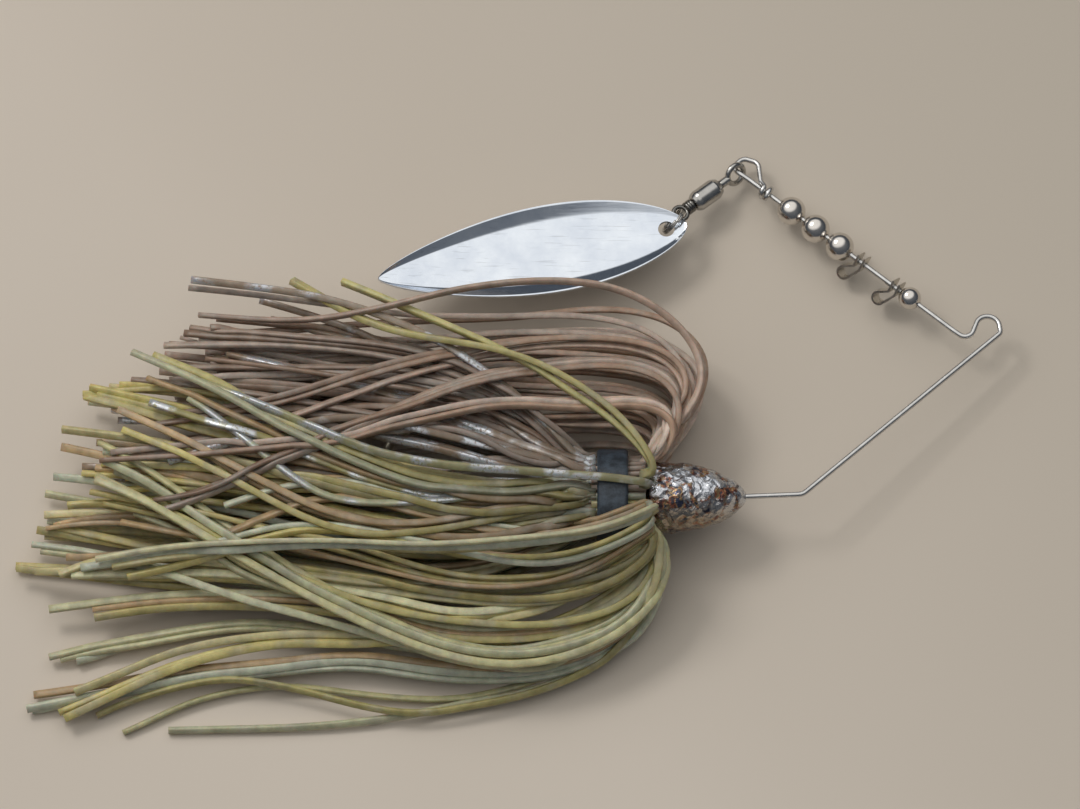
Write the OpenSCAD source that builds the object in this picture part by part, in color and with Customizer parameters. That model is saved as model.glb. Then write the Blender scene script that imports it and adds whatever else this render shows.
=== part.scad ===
// Spinnerbait lying on its side: a bent wire form with a cast lead head and hook, a banded
// silicone skirt, sliding beads and clevises, and a willow leaf blade on a ball bearing swivel.
// +X points forward to the line tie, +Y to the blade arm, +Z up. Millimetres.

/* [Wire form] */
// Diameter of the stainless wire
wire_d = 0.76; // [0.7:0.01:0.8]
// Tilt of the wire's plane, so that the blade arm lies lower than the head
plane_tilt = 6; // [5:0.5:7]
// Height of the head's axis above the table
axis_height = 8; // [7.8:0.1:8.4]

/* [Head] */
// Length of the bullet part of the head
head_len = 13.4; // [12.8:0.1:14]
// Largest radius of the head
head_r = 4.95; // [4.7:0.05:5.1]
// Radius of the keeper neck under the skirt
neck_r = 3.2; // [3:0.1:3.4]
// Diameter of the hook's wire
hook_d = 1.2; // [1.1:0.05:1.3]
// Gap between the hook's shank and its point, centre to centre
hook_gap = 11; // [10:0.5:11.5]

/* [Beads and clevises] */
// Radius of the three large beads
bead_r = 2; // [1.9:0.05:2.1]
// Radius of the small bead
small_bead_r = 1.6; // [1.5:0.05:1.7]
// Play between the wire and the bores that run on it, on the radius
bore_play = 0.08; // [0.05:0.01:0.1]
// Thickness of the clevis strip
strip_t = 0.3; // [0.25:0.05:0.35]
// Width of the clevis strip
strip_w = 1.8; // [1.6:0.1:2]
// Angle at which the clevises hang down from the arm
clevis_hang = 50; // [40:5:60]

/* [Swivel and blade] */
// Outer radius of the swivel barrel
barrel_r = 1.5; // [1.4:0.05:1.6]
// Length of the swivel barrel
barrel_len = 4.9; // [4.6:0.1:5]
// Length of the blade
blade_len = 44; // [43:0.5:45]
// Width of the blade
blade_w = 13.2; // [12.6:0.1:13.6]
// Depth of the blade's hollow
blade_depth = 1.1; // [1:0.05:1.3]
// Thickness of the blade's sheet
blade_t = 0.5; // [0.4:0.05:0.6]

/* [Skirt] */
// Outer radius of the rubber collar
collar_r = 6.8; // [6.6:0.1:7]
// Width of the rubber collar
collar_w = 4.3; // [4:0.1:4.6]

/* [Hidden] */
$fn = 48;
wire_r = wire_d / 2;
bore_r = wire_r + bore_play;

// Where the nose of the head stands: the origin is under the middle of the whole part
nose_x = 32.8;
nose_y = -9.94;

// The straight blade arm: from its lower bend up to the closed loop, in the wire's plane
arm_low = [29, 25.8];
arm_high = [-1.5, 51.08];
arm_dir = (arm_high - arm_low) / norm(arm_high - arm_low);
small_bead_at = 7.8;
bead_3_at = 20.4;
bead_pitch = 4.35;
clevis_1_at = 16.0;
clevis_2_at = 9.75;

// Corners and bend radii of the wire form, in the wire's plane with the nose at 0
wire_corners = [[-8, -1.7, 0], [-8, 1.35, 0], [-5.6, 1.35, 0], [-3.6, 0, 0], [7.9, 0.5, 0],
                [35.6, 25.45, 0], [35.2, 28.1, 0], [32.6, 27.9, 0], [31.2, 24.15, 0],
                concat(arm_low, 0), concat(arm_high, 0), [-0.1, 52.6, 0.05], [2, 51.8, 0.2],
                [2.35, 48.7, 0.5]];
wire_bends = [0, 0.8, 1, 1.5, 1.6, 0.8, 1.7, 1.5, 1.2, 3, 0.85, 1.1, 1.2, 0];
// The corners inside the head, and the first corners of the two long straight stretches
head_corners = 5;
lower_arm_corner = 4;
blade_arm_corner = 9;

// The swivel and the blade hang from the closed loop; heights are above the table
upper_eye_at = [-1.2, 49.85, 2.8];
lower_eye_at = [-8.9, 43.3, 4.7];
blade_hole_at = [-10.9, 40.5, 5.6];
blade_tip_at = [-50.9, 32.1, 8];
upper_eye_r = 1.4;
upper_eye_wire_r = 0.4;
lower_eye_r = 1;
lower_eye_wire_r = 0.31;
ring_r = 1.93;
ring_wire_r = 0.33;
blade_hole_r = 1.15;
blade_end = 2.9;

function unit(v) = v / norm(v);

// Turns a child's own Z to the direction z and its own X as near as can be to x
module placed(at, z, x) {
    zz = unit(z);
    xx = unit(x - (x * zz) * zz);
    yy = cross(zz, xx);
    multmatrix([[xx[0], yy[0], zz[0], at[0]],
                [xx[1], yy[1], zz[1], at[1]],
                [xx[2], yy[2], zz[2], at[2]]]) children();
}

// Puts the nose where it stands on the table
module on_table() {
    translate([nose_x, nose_y, 0]) children();
}

// The plane of the wire: X forward, Y towards the blade arm, the nose at 0
module in_wire_plane() {
    on_table() translate([0, 0, axis_height]) rotate([-plane_tilt, 0, 0]) children();
}

// A frame on the blade arm: Z runs along the arm towards the loop, X towards the head
module on_arm(s) {
    p = arm_low + arm_dir * s;
    in_wire_plane() placed([p[0], p[1], 0], [arm_dir[0], arm_dir[1], 0],
                           [-arm_dir[1], arm_dir[0], 0]) children();
}

// The direction after corner i of a route, the turn at it, and the length that its bend cuts off
function heading(p, i) = unit(p[i + 1] - p[i]);
function turn(p, i) = acos(max(-1, min(1, heading(p, i - 1) * heading(p, i))));
function bend_cut(p, b, i) = b[i] * tan(turn(p, i) / 2);

// Points round the bend at corner i, about every 15 degrees
function bend_points(p, b, i) =
    let (d = heading(p, i - 1), e = heading(p, i), side = unit(e - (e * d) * d),
         centre = p[i] - d * bend_cut(p, b, i) + side * b[i],
         steps = max(1, round(turn(p, i) / 15)))
    [for (k = [0 : steps]) let (a = turn(p, i) * k / steps)
        centre + b[i] * (d * sin(a) - side * cos(a))];
function rounded(p, b) =
    [p[0], for (i = [1 : len(p) - 2]) each bend_points(p, b, i), p[len(p) - 1]];

// A round tube through the points p: its cross-section is carried along without twist
tube_sides = 14;
function tangent(p, i) = unit(p[min(i + 1, len(p) - 1)] - p[max(i - 1, 0)]);
function carried(n, d) = unit(n - (n * d) * d);
function normals(p, i, n) =
    i == len(p) ? [] : let (m = carried(n, tangent(p, i))) concat([m], normals(p, i + 1, m));
module tube(p, r) {
    n = tube_sides;
    side = normals(p, 0, [0, 0.01, 1]);
    last = (len(p) - 1) * n;
    rings = [for (i = [0 : len(p) - 1]) let (other = cross(tangent(p, i), side[i]))
        for (k = [0 : n - 1]) let (a = 360 * k / n) p[i] + r * (side[i] * cos(a) + other * sin(a))];
    polyhedron(rings, [
        [for (k = [0 : n - 1]) k],
        [for (k = [n - 1 : -1 : 0]) last + k],
        for (i = [0 : len(p) - 2]) for (k = [0 : n - 1]) let (m = (k + 1) % n)
            each [[i * n + k, i * n + n + k, i * n + m], [i * n + m, i * n + n + k, i * n + n + m]]]);
}

// A round ring of wire about its own Z
module ring(mean_r, r) {
    rotate_extrude() translate([mean_r, 0]) circle(r = r);
}

// The tag end of the wire, wrapped round the blade arm below the loop and cut off short
wrap_r = wire_d + 0.05;
wrap_at = 34.2;
wrap_pitch = 0.95;
wrap_start = 70;
wrap_turn = 420;
// How far the cut end tucks in towards the arm, and down
tag_in = 0.7;
tag_down = 0.3;
wrap_from = arm_low + arm_dir * wrap_at;
wrap_side = [arm_dir[1], -arm_dir[0]];
tag_wrap = [for (a = [wrap_start : 20 : wrap_start + wrap_turn])
    let (down = (a - wrap_start) / 360 * wrap_pitch)
    [wrap_from[0] - arm_dir[0] * down + wrap_r * cos(a) * wrap_side[0],
     wrap_from[1] - arm_dir[1] * down + wrap_r * cos(a) * wrap_side[1], wrap_r * sin(a)]];
tag_end = [tag_wrap[len(tag_wrap) - 1] - [wrap_side[0] * tag_in, wrap_side[1] * tag_in, tag_down]];
wire_path = concat(rounded(wire_corners, wire_bends), tag_wrap, tag_end);
// The swept wire is a little thinner than the straight stretches that run through it
tube_share = 0.985;
tube_r = wire_r * tube_share;

// The straight stretch from corner i to the next one, between their bends
straight_gap = 0.15;
module straight_wire(i) {
    d = heading(wire_corners, i);
    from = wire_corners[i] + d * (bend_cut(wire_corners, wire_bends, i) + straight_gap);
    to = wire_corners[i + 1] - d * (bend_cut(wire_corners, wire_bends, i + 1) + straight_gap);
    placed(from, d, [0, 0, 1]) cylinder(r = wire_r, h = norm(to - from));
}

module wire_form() {
    color("silver") in_wire_plane() union() {
        tube(wire_path, tube_r);
        straight_wire(lower_arm_corner);
        straight_wire(blade_arm_corner);
    }
}

// Outline of the head from the nose back, as a power of an ellipse
bullet_flat = 11.3;
bullet_len = 11.5;
bullet_power = 0.6;
function bullet_y(x) =
    head_r * pow(max(0, 1 - pow((x - bullet_flat) / bullet_len, 2)), bullet_power);

hook_eye_x = -8;
hook_eye_r = 1.15;
shank_end = -44.5;
bend_r = hook_gap / 2;
// The straight before the point, the point, and the barb that stands off it
throat_len = 4;
point_len = 4.5;
point_tip_r = 0.06;
barb_len = 2.2;
barb_r = 0.34;
barb_tip_r = 0.05;
barb_back = 0.6;
barb_sunk = 0.35;
barb_turn = [0, -70, -22];

module hook_wire(r) {
    in_wire_plane() {
        translate([hook_eye_x, 0, 0]) rotate([90, 0, 0]) ring(hook_eye_r, r);
        translate([hook_eye_x - hook_eye_r, 0, 0]) rotate([0, -90, 0])
            cylinder(r = r, h = hook_eye_x - hook_eye_r - shank_end);
    }
}

// The keeper neck under the skirt and the flange that holds the skirt on it
neck_len = 11.4;
flange_h = 0.9;
flange_w = 1.5;
neck_sunk = 0.5;
module lead_head() {
    color("lightgray") difference() {
        in_wire_plane() rotate([0, -90, 0]) union() {
            rotate_extrude() polygon([[0, 0], for (i = [0 : 18]) let (x = head_len * (1 - cos(i * 5)))
                [bullet_y(x), x], [0, head_len]]);
            translate([0, 0, head_len - neck_sunk]) cylinder(r = neck_r, h = neck_len + neck_sunk);
            translate([0, 0, head_len + neck_len - flange_w])
                cylinder(r1 = neck_r + flange_h, r2 = neck_r, h = flange_w);
        }
        in_wire_plane() tube(rounded([for (i = [0 : head_corners - 1]) wire_corners[i]],
                                     [for (i = [0 : head_corners - 1]) wire_bends[i]]), tube_r);
        hook_wire(hook_d / 2);
    }
}

module hook() {
    color("dimgray") union() {
        hook_wire(hook_d / 2);
        in_wire_plane() translate([shank_end, bend_r, 0]) {
            rotate([0, 0, 90]) rotate_extrude(angle = 180)
                translate([bend_r, 0]) circle(r = hook_d / 2);
            translate([0, bend_r, 0]) rotate([0, 90, 0]) {
                cylinder(r = hook_d / 2, h = throat_len);
                translate([0, 0, throat_len])
                    cylinder(r1 = hook_d / 2, r2 = point_tip_r, h = point_len);
            }
            translate([throat_len + barb_back, bend_r - barb_sunk, 0]) rotate(barb_turn)
                cylinder(r1 = barb_r, r2 = barb_tip_r, h = barb_len);
        }
    }
}

bundle_from = -14.2;
bundle_to = -24.2;
collar_from = -16.3;
collar_bore_r = 5.7;
collar_edge = 0.35;
bundle_play = 0.05;
bundle_bore_gap = 0.95;

// The legs' middles, packed round the keeper neck under the collar
module skirt_bundle() {
    color("darkolivegreen") in_wire_plane() translate([bundle_from, 0, 0]) rotate([0, -90, 0])
        difference() {
            cylinder(r = collar_bore_r - bundle_play, h = bundle_from - bundle_to);
            translate([0, 0, -1]) cylinder(r = neck_r + bundle_bore_gap, h = bundle_from - bundle_to + 2);
        }
}

module skirt_collar() {
    color([0.1, 0.12, 0.16]) in_wire_plane() translate([collar_from, 0, 0]) rotate([0, -90, 0])
        rotate_extrude() polygon([[collar_bore_r, 0], [collar_r - collar_edge, 0],
            [collar_r, collar_edge], [collar_r, collar_w - collar_edge],
            [collar_r - collar_edge, collar_w], [collar_bore_r, collar_w]]);
}

// Stops between the ones given, on a smooth curve through them
function between(a, b, c, d, t) =
    0.5 * (2 * b + (c - a) * t + (2 * a - 5 * b + 4 * c - d) * t * t
           + (3 * b - a - 3 * c + d) * t * t * t);
function smooth_stops(s) = let (m = len(s) - 1)
    [for (i = [0 : m - 1]) for (t = [0 : 1 / 3 : 0.9])
        [for (f = [0 : 2]) between(s[max(i - 1, 0)][f], s[i][f], s[i + 1][f], s[min(i + 2, m)][f], t)],
     s[m]];

// A soft lock of legs: a closed body of oval sections along a route. Each stop is
// [centre, half the width across the route level with the table, half the height].
lock_sides = 12;
function stop_heading(s, i) = unit(s[min(i + 1, len(s) - 1)][0] - s[max(i - 1, 0)][0]);
function stop_ring(s, i) =
    let (d = stop_heading(s, i), side = unit([d[1], -d[0], 0]), up = cross(side, d))
    [for (k = [0 : lock_sides - 1]) let (a = 360 * k / lock_sides)
        s[i][0] + side * s[i][1] * cos(a) + up * s[i][2] * sin(a)];
module lock(stops) {
    s = smooth_stops(stops);
    n = lock_sides;
    rings = [for (i = [0 : len(s) - 1]) each stop_ring(s, i)];
    last = (len(s) - 1) * n;
    on_table() polyhedron(rings, [
        [for (k = [0 : n - 1]) k],
        [for (k = [n - 1 : -1 : 0]) last + k],
        for (i = [0 : len(s) - 2]) for (k = [0 : n - 1])
            each [[i * n + k, i * n + n + k, i * n + (k + 1) % n],
                  [i * n + n + k, i * n + n + (k + 1) % n, i * n + (k + 1) % n]]]);
}

// Brown legs that leave the collar forwards and fold back along the blade side
module skirt_back_fold() {
    color("saddlebrown") lock([[[-12.9, 7.0, 8.5], 1.4, 1.6], [[-9.3, 11, 9], 1.8, 2.2],
        [[-8.4, 16, 9.4], 2.4, 3], [[-11.5, 21.5, 9.2], 3, 3.6], [[-19, 24.4, 8.6], 3.4, 4.6],
        [[-32, 25.2, 7.8], 3.6, 5], [[-50, 25, 7], 3.8, 4.8], [[-68, 25.5, 6], 3.9, 3.8],
        [[-78, 26, 5], 3.4, 2.2]]);
}

// Brown legs that trail straight back from the collar on the blade side
module skirt_back_inner() {
    color("peru") lock([[[-25.2, 4.4, 11.6], 1.2, 1], [[-34, 9.5, 12], 2.8, 1.8],
        [[-48, 14.8, 11.4], 4, 3], [[-66, 16.5, 8.8], 4.2, 4.4], [[-84, 16.5, 6], 4.3, 3]]);
}

// Clear flaked legs over the hook, from the middle of the collar
module skirt_core_flake() {
    color("gainsboro") lock([[[-25.2, 0, 13], 1.8, 0.9], [[-36, 3, 12.4], 3.6, 1.6],
        [[-52, 6, 11.6], 4.8, 2.2], [[-72, 6, 10], 5, 2.4], [[-90, 5, 6.5], 5, 2]]);
}

// Olive legs that trail straight back below the hook
module skirt_belly_inner() {
    color("olive") lock([[[-25.2, -4.6, 6], 1.2, 1.2], [[-38, -7.5, 6], 3.4, 2.6],
        [[-56, -9.5, 5.6], 5, 3.2], [[-76, -10, 5], 6, 3.2], [[-99, -10, 4], 6.5, 2]]);
}

// Olive legs that leave the collar forwards and fold back along the belly side
module skirt_belly_fold() {
    color("olivedrab") lock([[[-12.9, -7, 7.6], 1.4, 1.6], [[-11, -11, 7.4], 1.8, 2.4],
        [[-13.5, -16, 7], 2.4, 3.2], [[-20, -20.5, 6.4], 3, 4], [[-34, -22.4, 5.6], 4, 4.6],
        [[-56, -22.6, 5.2], 4.6, 4.4], [[-80, -24, 4.6], 5.2, 3.6], [[-101, -26, 3.4], 4.6, 2.2]]);
}

// Olive legs folded back over the side that faces up
module skirt_side_fold() {
    color("yellowgreen") lock([[[-12.6, -1, 15.2], 2, 0.8], [[-11, -4, 17.4], 2.2, 1],
        [[-15, -7, 18.4], 3, 1.3], [[-28, -8.6, 16.6], 4.6, 2], [[-48, -10, 13.6], 6, 2.4],
        [[-72, -10, 11.4], 7, 2], [[-92, -10, 8.6], 6.5, 1.6]]);
}

// A few long olive legs that spread wide and lie on the table
module skirt_outer_legs() {
    color("darkkhaki") lock([[[-11.2, -15.6, 3], 0.9, 1.1], [[-16, -22, 2.6], 1, 1.6],
        [[-25, -27.2, 2.2], 1, 1.8], [[-40, -29.6, 1.8], 1.1, 1.7], [[-60, -30.6, 1.4], 1.2, 1.3],
        [[-82, -31.4, 1.2], 1.2, 1.1]]);
}

// Legs pressed flat under the collar and the hook, on which the lure rests
module skirt_under_tuft() {
    color("darkolivegreen") lock([[[-15, 0, 0.5], 3, 0.5], [[-24, 0.5, 0.55], 4, 0.52],
        [[-40, 1, 1.1], 5, 1.05], [[-60, 2, 1.1], 6, 1.05], [[-78, 3, 0.9], 6, 0.85]]);
}

module bead(s, r) {
    color("silver") on_arm(s) difference() {
        sphere(r = r, $fn = 64);
        cylinder(r = bore_r, h = 3 * r, center = true);
    }
}
module bead_1() { bead(bead_3_at + 2 * bead_pitch, bead_r); }
module bead_2() { bead(bead_3_at + bead_pitch, bead_r); }
module bead_3() { bead(bead_3_at, bead_r); }
module bead_4() { bead(small_bead_at, small_bead_r); }

// A flat strip along corners in its own plane, rounded at each corner
module strip_outline(p) {
    for (i = [0 : len(p) - 2]) {
        d = p[i + 1] - p[i];
        translate(p[i]) rotate([0, 0, atan2(d[1], d[0])])
            translate([0, -strip_t / 2]) square([norm(d), strip_t]);
        translate(p[i]) circle(d = strip_t, $fn = 24);
    }
    translate(p[len(p) - 1]) circle(d = strip_t, $fn = 24);
}

// A folded clevis: two eared ends on the wire, and a loop that leans back from them
loop_at = [2.5, 1.9];
loop_r = 0.9;
ear_end = -1.05;
ear_root = 0.7;
ear_rise = 1.05;
clevis_route = [[ear_end, 0], [ear_root, 0],
                for (a = [-55 : 20 : 145]) loop_at + loop_r * [cos(a), sin(a)],
                [ear_root, ear_rise], [ear_end, ear_rise]];
module clevis(s) {
    color("silver") on_arm(s) rotate([0, 0, -clevis_hang]) difference() {
        rotate([90, 0, 0]) translate([0, 0, -strip_w / 2]) linear_extrude(strip_w)
            strip_outline(clevis_route);
        cylinder(r = bore_r, h = 6, center = true);
    }
}
module clevis_1() { clevis(clevis_1_at); }
module clevis_2() { clevis(clevis_2_at); }

// The swivel's own line, from its upper eye to its lower eye
swivel_dir = unit(lower_eye_at - upper_eye_at);
swivel_level = unit([swivel_dir[1], -swivel_dir[0], 0]);
swivel_len = norm(lower_eye_at - upper_eye_at);
barrel_at = 3;
neck_play = 0.05;
post_r = 0.5;
// The round heads on both posts inside the barrel
inner_head_r = 0.85;
upper_head_at = 0.85;
upper_head_thick = 0.4;
lower_head_at = 2;
lower_head_thick = 0.6;
upper_post_end = 1;
neck_gap = 0.25;
// The two rooms inside the barrel that the heads turn in
upper_room_at = 0.75;
upper_room_len = 0.65;
upper_room_r = 0.95;
lower_room_at = 1.8;
lower_room_r = 1.2;
lower_wall = 0.6;
module on_swivel(d) {
    on_table() placed(upper_eye_at + swivel_dir * d, swivel_dir, swivel_level) children();
}

// An eye ring that stands in the swivel's line, turned about that line by the angle lean
module eye_ring(mean_r, r, lean) {
    rotate([0, 0, lean]) rotate([90, 0, 0]) ring(mean_r, r);
}

// The eye on the loop: ring, a stout neck, and a post that ends in a head inside the barrel
eye_lean = -58;
neck_out_r = 0.62;
module swivel_upper_eye() {
    color("silver") on_swivel(0) union() {
        eye_ring(upper_eye_r, upper_eye_wire_r, eye_lean);
        translate([0, 0, upper_eye_r]) cylinder(r = neck_out_r, h = barrel_at - neck_gap - upper_eye_r);
        translate([0, 0, upper_eye_r]) cylinder(r = post_r, h = barrel_at + upper_post_end - upper_eye_r);
        translate([0, 0, barrel_at + upper_head_at]) cylinder(r = inner_head_r, h = upper_head_thick);
    }
}

module swivel_barrel() {
    color("silver") on_swivel(barrel_at) difference() {
        rotate_extrude() polygon([[0, 0], [0.8, 0], [1.15, 0.2], [barrel_r - 0.08, 0.75], [barrel_r, 1],
            [barrel_r, barrel_len - 0.9], [barrel_r - 0.12, barrel_len - 0.5],
            [1.1, barrel_len - 0.1], [0.95, barrel_len], [0, barrel_len]]);
        translate([0, 0, -1]) cylinder(r = post_r + neck_play, h = barrel_len + 2);
        translate([0, 0, upper_room_at]) cylinder(r = upper_room_r, h = upper_room_len);
        translate([0, 0, lower_room_at])
            cylinder(r = lower_room_r, h = barrel_len - lower_room_at - lower_wall);
    }
}

// The rotating end of the swivel: head inside the barrel, post, wrapped collar and eye
coil_r = 0.27;
coil_pitch = 0.38;
coil_gap = 0.4;
coil_out = 0.2;
module swivel_lower_eye() {
    color("dimgray") on_swivel(0) union() {
        translate([0, 0, swivel_len]) eye_ring(lower_eye_r, lower_eye_wire_r, 0);
        translate([0, 0, barrel_at + lower_head_at]) cylinder(r = inner_head_r, h = lower_head_thick);
        translate([0, 0, barrel_at + lower_head_at])
            cylinder(r = post_r, h = swivel_len - lower_eye_r - barrel_at - lower_head_at);
        for (k = [0 : 2]) translate([0, 0, barrel_at + barrel_len + coil_gap + coil_pitch * k])
            ring(post_r + coil_out, coil_r);
    }
}

// Steel balls between the rotating head and the barrel's shoulder
ball_r = 0.28;
ball_circle_r = 0.86;
ball_play = 0.08;
module bearing_balls() {
    color("silver") on_swivel(barrel_at + lower_head_at + lower_head_thick + ball_r + ball_play)
        for (k = [0 : 5]) rotate([0, 0, 60 * k]) translate([ball_circle_r, 0, 0]) sphere(r = ball_r);
}

// The split ring stands upright between the swivel's eye and the blade's hole
ring_dir = unit(blade_hole_at - lower_eye_at);
ring_centre = (blade_hole_at + lower_eye_at) / 2;
ring_tip = 0.42;
module split_ring() {
    level = unit([ring_dir[1], -ring_dir[0], 0]);
    tipped = unit(level + [0, 0, ring_tip]);
    color("silver") on_table() placed(ring_centre, tipped, ring_dir) ring(ring_r, ring_wire_r);
}

// The willow leaf blade: a flat middle and bevelled flanks. X runs from the tip to the hole end,
// and Z up out of its hollow
blade_dir = unit(blade_hole_at - blade_tip_at);
blade_rows = 26;
// The leaf's outline, the share of its width that is flat, and how its hollow fades at the ends
leaf_skew = 1.23;
leaf_full = 0.56;
flat_share = 0.68;
dish_along = 0.6;
sheet_lift = 0.48;
sheet_lean = 0.04;
// Lines of points along the sheet, as shares of half its width: two on each flank, five between
leaf_lines = [-1, -0.84, -flat_share, -0.35, 0, 0.35, flat_share, 0.84, 1];
function leaf_half(t) = blade_w / 2 * pow(sin(180 * pow(t, leaf_skew)), leaf_full);
function leaf_point(i, j, lift) =
    let (t = min(1, max(0, (1 - cos(180 * i / blade_rows)) / 2)),
         v = leaf_lines[j],
         rise = min(1, (1 - abs(v)) / (1 - flat_share)),
         dish = blade_depth * rise * pow(sin(180 * t), dish_along))
    [blade_len * t, v * leaf_half(t), lift - dish];
module leaf_sheet() {
    m = blade_rows;
    n = len(leaf_lines) - 1;
    stride = n + 1;
    top = [for (i = [1 : m - 1]) for (j = [0 : n]) leaf_point(i, j, blade_t / 2)];
    low = [for (i = [1 : m - 1]) for (j = [0 : n]) leaf_point(i, j, -blade_t / 2)];
    ends = [[0, 0, 0], [blade_len, 0, 0]];
    b = len(top);
    e = 2 * b;
    r = m - 2;
    polyhedron(concat(top, low, ends), [
        for (i = [0 : r - 1]) for (j = [0 : n - 1]) let (a = i * stride + j)
            each [[a, a + stride, a + 1], [a + 1, a + stride, a + stride + 1],
                  [b + a, b + a + 1, b + a + stride], [b + a + 1, b + a + stride + 1, b + a + stride]],
        for (i = [0 : r - 1]) let (a = i * stride, c = a + n)
            each [[a, b + a, a + stride], [b + a, b + a + stride, a + stride],
                  [c, c + stride, b + c], [b + c, c + stride, b + c + stride]],
        for (j = [0 : n - 1]) let (c = r * stride + j)
            each [[e, j, j + 1], [e, b + j + 1, b + j], [e + 1, c + 1, c], [e + 1, b + c, b + c + 1]],
        [e, b, 0], [e, n, b + n],
        [e + 1, r * stride, b + r * stride], [e + 1, b + r * stride + n, r * stride + n]], 4);
}
module blade() {
    color("silver") on_table() placed(blade_hole_at, [0, sheet_lean, 1], blade_dir)
        difference() {
            translate([blade_end - blade_len, 0, sheet_lift]) leaf_sheet();
            cylinder(r = blade_hole_r, h = 6, center = true);
        }
}

wire_form();
lead_head();
hook();
skirt_collar();
skirt_bundle();
skirt_back_fold();
skirt_back_inner();
skirt_core_flake();
skirt_belly_inner();
skirt_belly_fold();
skirt_side_fold();
skirt_outer_legs();
skirt_under_tuft();
bead_1();
bead_2();
bead_3();
bead_4();
clevis_1();
clevis_2();
swivel_upper_eye();
swivel_barrel();
swivel_lower_eye();
bearing_balls();
split_ring();
blade();
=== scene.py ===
import math
import random
import bpy
import numpy as np
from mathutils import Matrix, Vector, kdtree


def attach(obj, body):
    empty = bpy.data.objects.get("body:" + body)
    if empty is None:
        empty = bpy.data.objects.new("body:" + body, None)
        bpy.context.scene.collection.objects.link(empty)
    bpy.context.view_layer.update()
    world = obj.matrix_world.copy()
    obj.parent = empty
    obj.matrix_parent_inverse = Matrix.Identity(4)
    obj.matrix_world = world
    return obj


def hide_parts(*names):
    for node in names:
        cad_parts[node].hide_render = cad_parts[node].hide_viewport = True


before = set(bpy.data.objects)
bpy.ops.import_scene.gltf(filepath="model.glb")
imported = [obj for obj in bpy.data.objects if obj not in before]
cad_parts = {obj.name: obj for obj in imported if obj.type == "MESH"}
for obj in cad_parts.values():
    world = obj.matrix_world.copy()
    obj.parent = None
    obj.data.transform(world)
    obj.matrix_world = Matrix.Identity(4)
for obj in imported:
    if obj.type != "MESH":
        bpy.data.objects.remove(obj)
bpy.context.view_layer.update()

MM = 0.001
# The nose of the head on the table, and the height and tilt of the wire's plane
NOSE = Vector((32.8, -9.94, 0.0))
AXIS_Z = 8.0
TILT = math.radians(6)
rng = random.Random(7)


# ---- camera and light, in metres

def aimed(obj, place, target):
    """Puts a camera or a light at a place, turned towards the target."""
    obj.location = place
    obj.rotation_mode = "QUATERNION"
    obj.rotation_quaternion = (target - place).to_track_quat("-Z", "Y")
    bpy.context.scene.collection.objects.link(obj)
    return obj


LOOK_AT = Vector((4.3, 4.5, 6.0)) * MM
CAMERA_DISTANCE = 2.5
CAMERA_ELEVATION = math.radians(70)
camera_data = bpy.data.cameras.new("camera")
camera_data.lens = 600
camera_data.sensor_width = 36
camera_data.clip_start = 0.1
camera_data.clip_end = 20
back = Vector((0, -math.cos(CAMERA_ELEVATION), math.sin(CAMERA_ELEVATION)))
camera = aimed(bpy.data.objects.new("camera", camera_data),
               LOOK_AT + back * CAMERA_DISTANCE, LOOK_AT)
bpy.context.scene.camera = camera
bpy.context.scene.view_settings.view_transform = "Standard"


def softbox(name, place, size, power, colour):
    """A rectangular light, its place given from the point the camera looks at."""
    data = bpy.data.lights.new(name, "AREA")
    data.shape = "RECTANGLE"
    data.size, data.size_y = size
    data.energy = power
    data.color = colour
    aimed(bpy.data.objects.new(name, data), LOOK_AT + Vector(place), LOOK_AT)


softbox("window", (-0.45, 0.40, 0.75), (0.34, 0.26), 2.5, (1.0, 0.98, 0.96))

world = bpy.data.worlds.new("studio")
bpy.context.scene.world = world
world.use_nodes = True


def link(tree, a, out, b, into):
    tree.links.new(a.outputs[out], b.inputs[into])


def axes(tree, coordinates):
    """The separate x, y and z of the texture coordinates of that name."""
    where = tree.nodes.new("ShaderNodeTexCoord")
    split = tree.nodes.new("ShaderNodeSeparateXYZ")
    link(tree, where, coordinates, split, 0)
    return split


def reach(tree, coordinates, direction):
    """How far each point lies in a direction, in the texture coordinates of that name."""
    where = tree.nodes.new("ShaderNodeTexCoord")
    dot = tree.nodes.new("ShaderNodeVectorMath")
    dot.operation = "DOT_PRODUCT"
    dot.inputs[1].default_value = direction
    link(tree, where, coordinates, dot, 0)
    return dot


def map_range(tree, source, out, low, high, top):
    """Nothing at low, rising evenly to top at high."""
    node = tree.nodes.new("ShaderNodeMapRange")
    node.inputs["From Min"].default_value = low
    node.inputs["From Max"].default_value = high
    node.inputs["To Max"].default_value = top
    link(tree, source, out, node, 0)
    return node


def world_gradient(tree):
    """A wide bright patch of sky up and behind the part, and a dim room all round it."""
    tree.nodes.clear()
    towards = reach(tree, "Generated", Vector((-0.22, 0.42, 0.88)).normalized())
    split = axes(tree, "Generated")
    patch = ramp(tree, towards, "Value", [(0.54, grey(0)), (0.76, grey(1))])
    height = ramp(tree, split, "Z", [(0.36, grey(0)), (0.56, grey(1))])
    sky = mix(tree, "MULTIPLY", 1.0, (patch, 0), (height, 0))
    room = ramp(tree, split, "Z", [(0.0, (0.20, 0.18, 0.165)), (0.12, (0.06, 0.07, 0.085)),
                                   (0.5, (0.10, 0.11, 0.125)), (0.9, (0.17, 0.18, 0.195))])
    colour = mix(tree, "MIX", (sky, 2), (room, 0), (0.98, 0.97, 0.95, 1))
    shade = tree.nodes.new("ShaderNodeBackground")
    out = tree.nodes.new("ShaderNodeOutputWorld")
    link(tree, colour, 2, shade, "Color")
    link(tree, shade, 0, out, 0)


# ---- materials

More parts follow.
